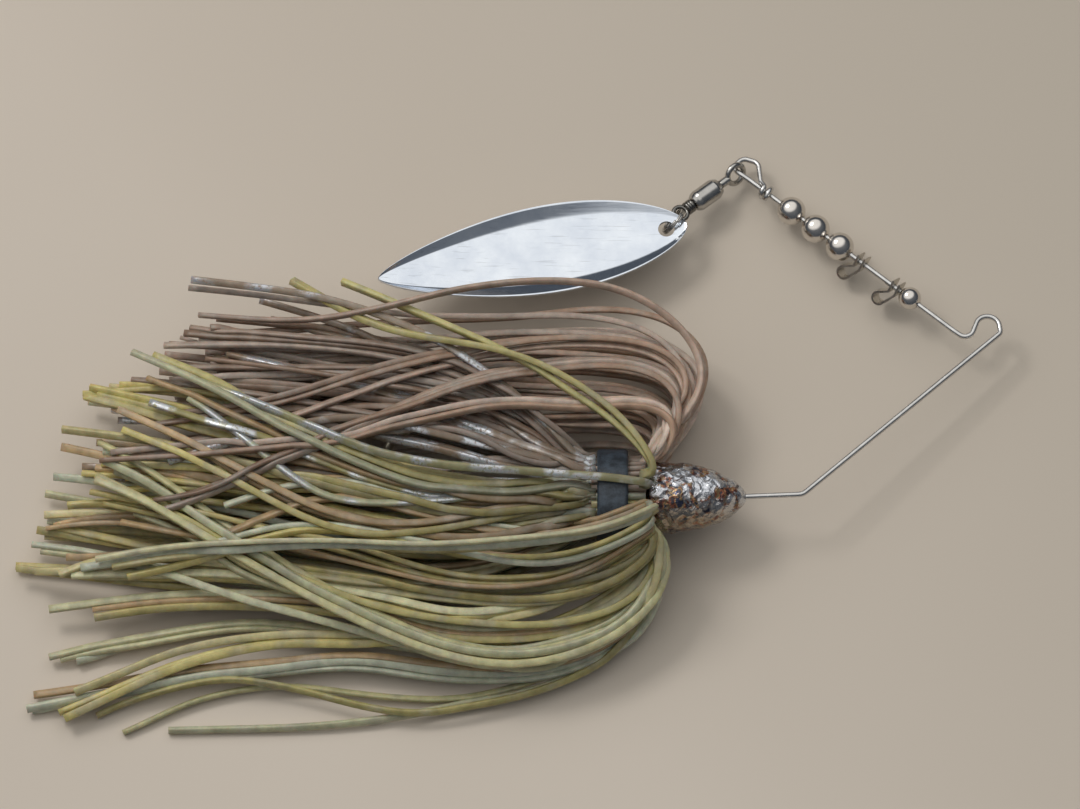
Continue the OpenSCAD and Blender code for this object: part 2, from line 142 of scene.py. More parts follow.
def srgb(r, g, b):
    """A colour given in the usual 0 to 255, in Blender's linear values."""
    def lin(c):
        c = c / 255
        return c / 12.92 if c <= 0.04045 else ((c + 0.055) / 1.055) ** 2.4
    return (lin(r), lin(g), lin(b), 1.0)


def material(name, **sockets):
    """A new material, with the shader's named inputs set."""
    mat = bpy.data.materials.new(name)
    mat.use_nodes = True
    tree = mat.node_tree
    shader = tree.nodes["Principled BSDF"]
    for key, value in sockets.items():
        shader.inputs[key.replace("_", " ")].default_value = value
    return mat, tree, shader


def noise(tree, scale, detail=4.0, roughness=0.5, distortion=0.0):
    """A noise texture on the object's own coordinates; scale is features per metre."""
    where = tree.nodes.new("ShaderNodeTexCoord")
    tex = tree.nodes.new("ShaderNodeTexNoise")
    tex.inputs["Scale"].default_value = scale
    tex.inputs["Detail"].default_value = detail
    tex.inputs["Roughness"].default_value = roughness
    tex.inputs["Distortion"].default_value = distortion
    link(tree, where, "Object", tex, "Vector")
    return tex


def ramp(tree, source, out, stops):
    """A colour for each value of the source, from stops of a value and its colour."""
    node = tree.nodes.new("ShaderNodeValToRGB")
    elements = node.color_ramp.elements
    while len(elements) < len(stops):
        elements.new(0.5)
    for element, (position, colour) in zip(elements, stops):
        element.position = position
        element.color = colour if len(colour) == 4 else (*colour, 1)
    link(tree, source, out, node, 0)
    return node


def grey(v):
    return (v, v, v, 1)


def bump(tree, shader, source, out, strength, distance):
    node = tree.nodes.new("ShaderNodeBump")
    node.inputs["Strength"].default_value = strength
    node.inputs["Distance"].default_value = distance
    link(tree, source, out, node, "Height")
    link(tree, node, "Normal", shader, "Normal")


def mix(tree, kind, factor, a, b):
    """Blends a and b; each value is a number, a colour, or a node and its output."""
    node = tree.nodes.new("ShaderNodeMix")
    node.data_type = "RGBA"
    node.blend_type = kind
    for value, key in ((factor, 0), (a, 6), (b, 7)):
        if isinstance(value, tuple) and not hasattr(value[0], "outputs"):
            node.inputs[key].default_value = value
        elif isinstance(value, (int, float)):
            node.inputs[key].default_value = value
        else:
            tree.links.new(value[0].outputs[value[1]], node.inputs[key])
    return node


# Features per metre of a metal's smears and of its grain
SMEAR, GRAIN = 700, 9000


def metal(name, colour, low, high, scratch):
    """Used metal, its roughness running from low to high with the smears."""
    mat, tree, shader = material(name, Metallic=1.0)
    smear = noise(tree, SMEAR, 5, 0.6)
    tone = ramp(tree, smear, 0, [(0.3, tuple(c * 0.82 for c in colour[:3])), (0.65, colour)])
    link(tree, tone, 0, shader, "Base Color")
    rough = ramp(tree, smear, 0, [(0.3, grey(low)), (0.75, grey(high))])
    link(tree, rough, 0, shader, "Roughness")
    fine = noise(tree, GRAIN, 3, 0.6)
    bump(tree, shader, fine, 0, scratch, 0.00002)
    return mat


world_gradient(world.node_tree)

wire_steel = metal("wire_steel", srgb(214, 213, 211), 0.18, 0.32, 0.10)
bead_nickel = metal("bead_nickel", srgb(226, 221, 215), 0.10, 0.22, 0.03)
swivel_nickel = metal("swivel_nickel", srgb(190, 188, 184), 0.12, 0.26, 0.15)
# Painted shade: the lower eye is the swivel's own nickel, made darker to stand for the shade it
# sits in.
swivel_nickel_painted_shade = metal("swivel_nickel_painted_shade", srgb(128, 126, 122), 0.18, 0.34, 0.2)
clevis_nickel = metal("clevis_nickel", srgb(204, 199, 190), 0.24, 0.42, 0.25)
hook_metal = metal("hook_metal", srgb(232, 222, 202), 0.28, 0.44, 0.12)


def blade_material():
    """Bright plate with smears, and fine scratches that run along the blade."""
    mat, tree, shader = material("blade_nickel", Metallic=1.0)
    where = tree.nodes.new("ShaderNodeTexCoord")
    stretch = tree.nodes.new("ShaderNodeMapping")
    stretch.inputs["Rotation"].default_value = (0, 0, math.radians(-14))
    stretch.inputs["Scale"].default_value = (0.06, 1, 1)
    link(tree, where, "Object", stretch, "Vector")
    scratch = tree.nodes.new("ShaderNodeTexNoise")
    scratch.inputs["Scale"].default_value = 2600
    scratch.inputs["Detail"].default_value = 3
    link(tree, stretch, 0, scratch, "Vector")
    smear = noise(tree, 160, 5, 0.65)
    tone = ramp(tree, smear, 0, [(0.3, srgb(212, 220, 232)), (0.7, srgb(238, 244, 251))])
    streak = ramp(tree, scratch, 0, [(0.30, grey(0.84)), (0.40, grey(1))])
    lined = mix(tree, "MULTIPLY", 1.0, (tone, 0), (streak, 0))
    link(tree, lined, 2, shader, "Base Color")
    rough = ramp(tree, smear, 0, [(0.3, grey(0.07)), (0.75, grey(0.17))])
    link(tree, rough, 0, shader, "Roughness")
    bump(tree, shader, scratch, 0, 0.22, 0.00003)
    return mat


blade_nickel = blade_material()


# The world's y, in metres, where the painted shade on the foil's side away from the lights begins
# and where it's full
FOIL_SHADE_FROM, FOIL_SHADE_FULL = -0.0105, -0.0140


def foil_material():
    """Crinkled silver foil with blotches of dark blue, brown, red and orange under a clear coat,
    and painted shade in a darker warm brown on the side away from the lights.
    """
    mat, tree, shader = material("head_foil", Coat_Weight=0.6, Coat_Roughness=0.12)
    blotch = noise(tree, 360, 5, 0.62, 0.7)
    tint = noise(tree, 760, 4, 0.6, 0.3)
    warm = ramp(tree, tint, 0, [(0.38, srgb(32, 38, 60)), (0.46, srgb(66, 52, 50)),
                                (0.51, srgb(148, 82, 60)), (0.57, srgb(160, 134, 92)),
                                (0.64, srgb(52, 58, 82))])
    mask = ramp(tree, blotch, 0, [(0.46, grey(0)), (0.53, grey(1))])
    # Painted shade: the silver turns a darker warm brown towards the side away from the lights.
    side = map_range(tree, axes(tree, "Object"), "Y", FOIL_SHADE_FROM, FOIL_SHADE_FULL, 0.75)
    silver = mix(tree, "MIX", (side, 0), srgb(208, 211, 217), srgb(150, 128, 90))
    colour = mix(tree, "MIX", (mask, 0), (warm, 0), (silver, 2))
    link(tree, colour, 2, shader, "Base Color")
    shiny = ramp(tree, blotch, 0, [(0.42, grey(0.55)), (0.50, grey(1.0))])
    link(tree, shiny, 0, shader, "Metallic")
    rough = ramp(tree, tint, 0, [(0.3, grey(0.34)), (0.7, grey(0.16))])
    link(tree, rough, 0, shader, "Roughness")
    where = tree.nodes.new("ShaderNodeTexCoord")
    facets = tree.nodes.new("ShaderNodeTexVoronoi")
    facets.inputs["Scale"].default_value = 950
    link(tree, where, "Object", facets, "Vector")
    crinkle = noise(tree, 1000, 3, 0.55, 1.0)
    height = mix(tree, "MIX", 0.45, (facets, "Distance"), (crinkle, 0))
    bump(tree, shader, height, 2, 0.9, 0.00055)
    return mat


head_foil = foil_material()


def rubber_material():
    """Dark rubber with a bluish-grey sheen painted on in paler patches."""
    mat, tree, shader = material("collar_rubber", Roughness=0.42)
    # Painted sheen: the paler bluish-grey patches stand in for the light's reflection on the
    # rubber.
    painted_sheen = noise(tree, 900, 5, 0.7)
    tone = ramp(tree, painted_sheen, 0, [(0.35, srgb(30, 37, 45)), (0.7, srgb(68, 80, 92))])
    link(tree, tone, 0, shader, "Base Color")
    bump(tree, shader, noise(tree, 5200, 4, 0.6), 0, 0.3, 0.00005)
    return mat


collar_rubber = rubber_material()


def silicone_material(name, rough, flake):
    """Translucent silicone: each leg has its own tone, with mottling along it."""
    mat, tree, shader = material(name, Subsurface_Weight=0.25, Subsurface_Scale=0.0006,
                                 Roughness=rough)
    tone = tree.nodes.new("ShaderNodeAttribute")
    tone.attribute_name = "tone"
    mottle = noise(tree, 520, 5, 0.6)
    shade = ramp(tree, mottle, 0, [(0.32, grey(0.74)), (0.68, grey(1.16))])
    haze = ramp(tree, noise(tree, 300, 3, 0.5), 0, [(0.48, grey(0)), (0.66, grey(0.34))])
    base = mix(tree, "MIX", (haze, 0), (tone, 0), srgb(168, 164, 156))
    last = mix(tree, "MULTIPLY", 1.0, (base, 2), (shade, 0))
    if flake:
        grain = ramp(tree, noise(tree, 2100, 3, 0.6), 0, [(0.36, grey(0.1)), (0.50, grey(0.9))])
        patch = ramp(tree, noise(tree, 150, 3, 0.5), 0, [(0.48, grey(0)), (0.57, grey(1))])
        spark = mix(tree, "MULTIPLY", 1.0, (grain, 0), (patch, 0))
        last = mix(tree, "MIX", (spark, 2), (last, 2), srgb(205, 209, 215))
        glint = ramp(tree, spark, 2, [(0, grey(0)), (1, grey(0.62))])
        link(tree, glint, 0, shader, "Metallic")
    link(tree, last, 2, shader, "Base Color")
    bump(tree, shader, noise(tree, 2400, 3, 0.6), 0, 0.35, 0.00006)
    return mat


silicone = silicone_material("silicone", 0.40, False)
silicone_flake = silicone_material("silicone_flake", 0.30, True)


# ---- mesh helpers

def piece(name, verts, faces, mat, body, nodes, slot):
    """A mesh from points in millimetres, riding on a body and standing for the given CAD nodes."""
    mesh = bpy.data.meshes.new(name)
    mesh.from_pydata([Vector(v) * MM for v in verts], [], faces)
    mesh.materials.append(mat)
    mesh.shade_smooth()
    mesh.validate()
    mesh.update()
    obj = bpy.data.objects.new(name, mesh)
    bpy.context.scene.collection.objects.link(obj)
    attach(obj, body)
    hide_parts(*nodes)
    return obj


def wire_plane(p, q, h=0.0):
    """A point given in the wire's plane (nose at 0, q towards the arm, h off it), in world mm."""
    return Vector((NOSE.x + p, NOSE.y + q * math.cos(TILT) + h * math.sin(TILT),
                   AXIS_Z - q * math.sin(TILT) + h * math.cos(TILT)))


def table_point(p):
    """A point given from the nose's place on the table, in world mm."""
    return NOSE + Vector(p)


def frames(points):
    """Tangents and two carried normals for a path."""
    n = len(points)
    tangents = [(points[min(i + 1, n - 1)] - points[max(i - 1, 0)]).normalized() for i in range(n)]
    side = tangents[0].cross(Vector((0, 0.01, 1))).normalized()
    out = []
    for t in tangents:
        side = (side - t * side.dot(t)).normalized()
        out.append((t, side, t.cross(side)))
    return out


def bands(start, rings, sides):
    """The faces between rings of points that follow each other, from the point at start."""
    faces = []
    for i in range(rings - 1):
        for k in range(sides):
            a, b = start + i * sides + k, start + i * sides + (k + 1) % sides
            faces.append((a, b, b + sides, a + sides))
    return faces


def capped(start, rings, sides):
    """The same, with both ends closed."""
    last = start + (rings - 1) * sides
    return bands(start, rings, sides) + [tuple(range(start + sides - 1, start - 1, -1)),
                                         tuple(range(last, last + sides))]


def tube_mesh(points, r, sides):
    """A closed round tube of radius r along a path."""
    verts = []
    for (t, a, b), p in zip(frames(points), points):
        for k in range(sides):
            angle = math.tau * k / sides
            verts.append(p + a * (r * math.cos(angle)) + b * (r * math.sin(angle)))
    return verts, capped(0, len(points), sides)


# Short steps on the curve between two stops, before they are made even
CURVE_STEPS = 12


def spline(stops, spacing):
    """Points about every `spacing` mm on a Catmull-Rom curve through the stops."""
    stops = [Vector(s) for s in stops]
    fine = []
    for i in range(len(stops) - 1):
        a = stops[max(i - 1, 0)]
        b, c = stops[i], stops[i + 1]
        d = stops[min(i + 2, len(stops) - 1)]
        for k in range(CURVE_STEPS):
            t = k / CURVE_STEPS
            fine.append(0.5 * (2 * b + (c - a) * t + (2 * a - 5 * b + 4 * c - d) * t * t
                               + (3 * b - a - 3 * c + d) * t ** 3))
    fine.append(stops[-1])
    return even(fine, spacing)


def even(points, spacing):
    """The same path with points at equal steps."""
    steps = [0.0]
    for a, b in zip(points, points[1:]):
        steps.append(steps[-1] + (b - a).length)
    count = max(2, round(steps[-1] / spacing))
    out, j = [], 0
    for i in range(count + 1):
        s = steps[-1] * i / count
        while j < len(steps) - 2 and steps[j + 1] < s:
            j += 1
        span = max(1e-9, steps[j + 1] - steps[j])
        out.append(points[j].lerp(points[j + 1], min(1, max(0, (s - steps[j]) / span))))
    return out


# ---- wire form

WIRE_R = 0.38
# The wire's corners from the cast-in end to the loop at the arm's end, in the wire's own plane and
# off it, and the radius of the bend at each
WIRE_CORNERS = [(-8, -1.7, 0), (-8, 1.35, 0), (-5.6, 1.35, 0), (-3.6, 0, 0), (7.9, 0.5, 0),
                (35.6, 25.45, 0), (35.2, 28.1, 0), (32.6, 27.9, 0), (31.2, 24.15, 0),
                (29, 25.8, 0), (0.66, 49.29, 0), (-1.7, 51.08, 0), (-0.1, 52.6, 0.05),
                (2, 51.8, 0.2), (2.35, 48.7, 0.5)]
WIRE_BENDS = [0, 0.8, 1, 1.5, 1.6, 0.8, 1.7, 1.5, 1.2, 3, 6, 0.85, 1.1, 1.2, 0]
ARM_LOW = Vector((29, 25.8, 0))
ARM_HIGH = Vector((-1.5, 51.08, 0))
ARM = (ARM_HIGH - ARM_LOW).normalized()
# Where the tag end's wrap begins up the arm, its drop in each turn and its angles in degrees
WRAP_AT, WRAP_DROP = 34.2, 0.95
WRAP_FROM, WRAP_TO = 70, 490
# Degrees of bend for each point on it
ARC_STEP = 6


def rounded(corners, bends):
    """The path through the corners, with an arc of the bend's radius at each."""
    points = [Vector(c) for c in corners]
    out = [points[0]]
    for i in range(1, len(points) - 1):
        d = (points[i] - points[i - 1]).normalized()
        e = (points[i + 1] - points[i]).normalized()
        turn = math.acos(max(-1, min(1, d.dot(e))))
        side = (e - d * e.dot(d)).normalized()
        centre = points[i] - d * (bends[i] * math.tan(turn / 2)) + side * bends[i]
        steps = max(2, round(math.degrees(turn) / ARC_STEP))
        for k in range(steps + 1):
            a = turn * k / steps
            out.append(centre + bends[i] * (d * math.sin(a) - side * math.cos(a)))
    out.append(points[-1])
    return out


def tag_wrap():
    """The wire's tag end, wrapped round the arm below the loop and cut off short."""
    start = ARM_LOW + ARM * WRAP_AT
    side = Vector((ARM.y, -ARM.x, 0))
    r = 2 * WIRE_R + 0.05
    out = []
    for a in range(WRAP_FROM, WRAP_TO + 1, 10):
        down = (a - WRAP_FROM) / 360 * WRAP_DROP
        t = math.radians(a)
        out.append(start - ARM * down + side * (r * math.cos(t)) + Vector((0, 0, r * math.sin(t))))
    out.append(out[-1] - Vector((side.x * 0.7, side.y * 0.7, 0.3)))
    return out


wire_route = [wire_plane(*p) for p in rounded(WIRE_CORNERS, WIRE_BENDS) + tag_wrap()]
piece("wire", *tube_mesh(wire_route, WIRE_R, 18), wire_steel, "lure", ["wire_form"],
      "stainless_wire")


# ---- head and collar

HEAD_LEN, HEAD_R, NECK_R = 13.4, 4.95, 3.2
# Where the head is widest, and the length over which it tapers
HEAD_WIDEST, HEAD_TAPER = 11.3, 11.5
# How far the head's and the collar's surfaces are set in, to leave room for their lumps
SKIN = 0.08


def head_radius(x):
    """The radius of the bullet-shaped head, x behind the nose."""
    return HEAD_R * max(0.0, 1 - ((x - HEAD_WIDEST) / HEAD_TAPER) ** 2) ** 0.6


def crumple(x, a):
    """Lumps and creases of the foil, in mm, at x from the nose and angle a."""
    return (0.10 * math.sin(3 * a + 0.9 * x) + 0.07 * math.sin(5 * a - 1.7 * x + 1.1)
            + 0.05 * abs(math.sin(7 * a + 2.3 * x)) + 0.04 * math.sin(11 * a + 3.1 * x + 0.4)
            + 0.05 * math.sin(2 * a - 2.9 * x))


def head_mesh():
    """The head with its crumpled foil, and the keeper neck behind it with its raised end."""
    places = [HEAD_LEN * (1 - math.cos(math.radians(i * 2.25))) for i in range(1, 40)]
    rows = [(x, head_radius(x)) for x in places]
    rows += [(HEAD_LEN, head_radius(HEAD_LEN) - 0.15), (HEAD_LEN + 0.05, NECK_R + 0.3),
             (HEAD_LEN + 0.4, NECK_R), (HEAD_LEN + 9.9, NECK_R), (HEAD_LEN + 11.3, NECK_R + 0.85),
             (HEAD_LEN + 11.4, NECK_R + 0.6)]
    sides = 72
    verts, faces = [wire_plane(-0.02, 0)], []
    for x, r in rows:
        lumps = min(1, x / 2) * (1 if x < HEAD_LEN - 0.6 else 0.3 if x < HEAD_LEN else 0)
        for k in range(sides):
            a = math.tau * k / sides
            rr = r + lumps * crumple(x, a) * 0.8 - SKIN
            verts.append(wire_plane(-x, rr * math.cos(a), rr * math.sin(a)))
    for k in range(sides):
        faces.append((0, 1 + (k + 1) % sides, 1 + k))
    faces += bands(1, len(rows), sides)
    last = 1 + (len(rows) - 1) * sides
    faces.append(tuple(last + k for k in range(sides)))
    return verts, faces


piece("head", *head_mesh(), head_foil, "lure", ["lead_head"], "foil_lead")


def collar_mesh():
    """A moulded ring with rounded edges, pressed slightly out of round by the legs in it."""
    outer, inner, front, rear, edge = 6.8, 5.75, -16.3, -20.6, 0.5
    section = []
    for cx, cr, start in ((front - edge, outer - edge, 90), (rear + edge, outer - edge, 180)):
        for k in range(5):
            a = math.radians(start - 90 + k * 22.5)
            section.append((cx + edge * math.cos(a), cr + edge * math.sin(a)))
    section += [(rear + 0.1, inner), (rear + 0.6, inner - 0.1), (front - 0.6, inner - 0.1),
                (front - 0.1, inner)]
    sides, n = 96, len(section)
    verts, faces = [], []
    for k in range(sides):
        a = math.tau * k / sides
        push = 0.06 * math.sin(9 * a) + 0.05 * math.sin(5 * a + 1) - SKIN
        for x, r in section:
            rr = r + push
            verts.append(wire_plane(x, rr * math.cos(a), rr * math.sin(a)))
    for k in range(sides):
        for j in range(n):
            a, b = k * n + j, k * n + (j + 1) % n
            c, d = ((k + 1) % sides) * n + (j + 1) % n, ((k + 1) % sides) * n + j
            faces.append((a, b, c, d))
    return verts, faces


piece("collar", *collar_mesh(), collar_rubber, "lure", ["skirt_collar"], "collar_rubber")


# ---- blade

BLADE_HOLE = table_point((-10.9, 40.5, 5.6))
BLADE_TIP = table_point((-50.9, 32.1, 8.0))
BLADE_HOLE_R = 1.15
BLADE_LENGTH, BLADE_HALF, BLADE_THICK = 44.0, 6.6, 0.5
# How far the blade goes on past its hole
BLADE_END = 2.9
# The shares of the half width that are flat and bevelled, how deep the dish is, and how high its
# rim lies above the line from the hole to the tip
BLADE_FLAT, BLADE_FLANK = 0.68, 0.32
BLADE_DISH, BLADE_RIM = 1.1, 0.48


def blade_mesh():
    """A willow leaf with a flat middle, bevelled flanks and a thin rim."""
    xx = (BLADE_HOLE - BLADE_TIP).normalized()
    zz = Vector((0, 0.04, 1)).normalized()
    zz = (zz - xx * zz.dot(xx)).normalized()
    yy = zz.cross(xx)
    rows, cols = 140, 72

    def half(s):
        return BLADE_HALF * math.sin(math.pi * s ** 1.23) ** 0.56

    def dish(s, v):
        flank = min((abs(v) - BLADE_FLAT) / BLADE_FLANK, 0.91)
        bevel = 1 - (math.hypot(flank, 0.12) + flank) / 2
        return BLADE_DISH * bevel * math.sin(math.pi * s) ** 0.6

    verts, faces = [], []
    for face in (BLADE_THICK / 2, -BLADE_THICK / 2):
        for i in range(1, rows):
            s = (1 - math.cos(math.pi * i / rows)) / 2
            for j in range(cols + 1):
                v = math.sin(math.pi / 2 * (2 * j / cols - 1))
                x = BLADE_END - BLADE_LENGTH + BLADE_LENGTH * s
                y = v * half(s)
                z = BLADE_RIM - dish(s, v) + face
                verts.append(BLADE_HOLE + xx * x + yy * y + zz * z)
    n, m = cols + 1, rows - 1
    base = n * m
    for layer in (0, 1):
        o = layer * base
        for i in range(m - 1):
            for j in range(cols):
                a, b = o + i * n + j, o + (i + 1) * n + j
                q = (a, b, b + 1, a + 1)
                faces.append(q if layer == 0 else q[::-1])
    for i in range(m - 1):
        a, b = i * n, (i + 1) * n
        faces.append((a, base + a, base + b, b))
        faces.append((b + cols, base + b + cols, base + a + cols, a + cols))
    faces.append(tuple(range(n)) + tuple(base + k for k in range(cols, -1, -1)))
    e = (m - 1) * n
    faces.append(tuple(e + k for k in range(cols, -1, -1))
                 + tuple(base + e + k for k in range(n)))
    return verts, faces, zz


verts, faces, blade_up = blade_mesh()
blade = piece("blade_leaf", verts, faces, blade_nickel, "blade", ["blade"], "polished_blade")


def drill(obj, centre, axis, radius, depth):
    """Cuts a round hole through a piece, once."""
    path = [centre - axis * depth, centre + axis * depth]
    verts, faces = tube_mesh(path, radius, 40)
    mesh = bpy.data.meshes.new("drill")
    mesh.from_pydata([v * MM for v in verts], [], faces)
    cutter = bpy.data.objects.new("drill", mesh)
    bpy.context.scene.collection.objects.link(cutter)
    cut = obj.modifiers.new("hole", "BOOLEAN")
    cut.operation = "DIFFERENCE"
    cut.solver = "EXACT"
    cut.object = cutter
    bpy.context.view_layer.update()
    graph = bpy.context.evaluated_depsgraph_get()
    done = bpy.data.meshes.new_from_object(obj.evaluated_get(graph))
    obj.modifiers.clear()
    obj.data = done
    bpy.data.objects.remove(cutter)


drill(blade, BLADE_HOLE, blade_up, BLADE_HOLE_R, 3)
blade.data.set_sharp_from_angle(angle=math.radians(35))


# ---- split ring

LOWER_EYE = table_point((-8.9, 43.3, 4.7))
RING_R, RING_WIRE_R = 1.93, 0.19
# How the ring's axis leans up, the angle of its cut ends, and how far each turn lies off its middle
RING_LEAN, RING_CUT, RING_SPLIT = 0.42, 1.2, 0.18


def ring_mesh():
    """Two turns of wire lying against each other, with both ends cut square."""
    along = (BLADE_HOLE - LOWER_EYE).normalized()
    level = Vector((along.y, -along.x, 0)).normalized()
    axis = (level + Vector((0, 0, RING_LEAN))).normalized()
    along = (along - axis * along.dot(axis)).normalized()
    across = axis.cross(along)
    centre = (BLADE_HOLE + LOWER_EYE) / 2
    steps = 120
    path = []
    for i in range(steps + 1):
        turn = i / steps * 2 - 1
        a = math.tau * turn + RING_CUT
        rise = RING_SPLIT * math.tanh(turn * 6)
        path.append(centre + (along * math.cos(a) + across * math.sin(a)) * RING_R + axis * rise)
    return tube_mesh(path, RING_WIRE_R, 14)


piece("ring", *ring_mesh(), swivel_nickel, "split_ring", ["split_ring"], "bright_plate")


# ---- skirt

BROWN = (srgb(154, 134, 119), srgb(140, 117, 99), srgb(166, 150, 137), srgb(158, 142, 129))
OLIVE = (srgb(172, 161, 104), srgb(159, 148, 98), srgb(176, 173, 139), srgb(169, 172, 152),
         srgb(158, 135, 101), srgb(169, 160, 117))
SAGE = (srgb(168, 168, 138), srgb(161, 157, 118), srgb(154, 146, 96))
YELLOW = (srgb(168, 161, 110), srgb(160, 151, 100))
CLEAR = (srgb(150, 134, 116), srgb(138, 120, 102))

# The widest and the tightest loop of the brown legs, looked at from above
WIDE_LOOP = [(-14, 4.8), (-10.2, 9), (-6.6, 13.5), (-5.5, 18), (-7.6, 22.4), (-13, 26.2), (-21, 28),
             (-32, 27.8), (-46, 26.6)]
TIGHT_LOOP = [(-14, 4.4), (-12.2, 6.2), (-11.6, 8), (-12.8, 9.8), (-16.4, 10.8), (-21.5, 10.8),
              (-29, 11.4), (-38, 12.4), (-48, 12.6)]


# The number of brown loops, their lowest height, the range of heights and the step through it
LOOPS = 30
LOOP_LOW, LOOP_RISE, LOOP_STEP = 2, 9.6, 0.618


def brown_loops():
    """Legs that leave the collar forwards and fold back in loops of every size between the two."""
    out = []
    for k in range(LOOPS):
        wide = min(1, max(0, k / (LOOPS - 1) + rng.uniform(-0.09, 0.09)))
        level = LOOP_LOW + LOOP_RISE * ((k * LOOP_STEP) % 1)
        end_y = 4 + 25 * (0.4 * wide + 0.6 * rng.random())
        stray = rng.uniform(-1, 1)
        stops = []
        for i, (a, b) in enumerate(zip(TIGHT_LOOP, WIDE_LOOP)):
            share = i / len(WIDE_LOOP)
            y = a[1] + (b[1] - a[1]) * wide
            stops.append((a[0] + (b[0] - a[0]) * wide + stray * share * (1 - share) * 2,
                          y + (end_y - y) * 0.55 * share ** 2, level * (1 - 0.35 * share) + 0.5))
        last_y = stops[-1][1]
        stops.append((-60, last_y + (end_y - last_y) * 0.6, level * 0.55 + 0.4))
        stops.append((rng.uniform(-81, -70), end_y, level * 0.42 + 0.4))
        out.append(stops)
    return out


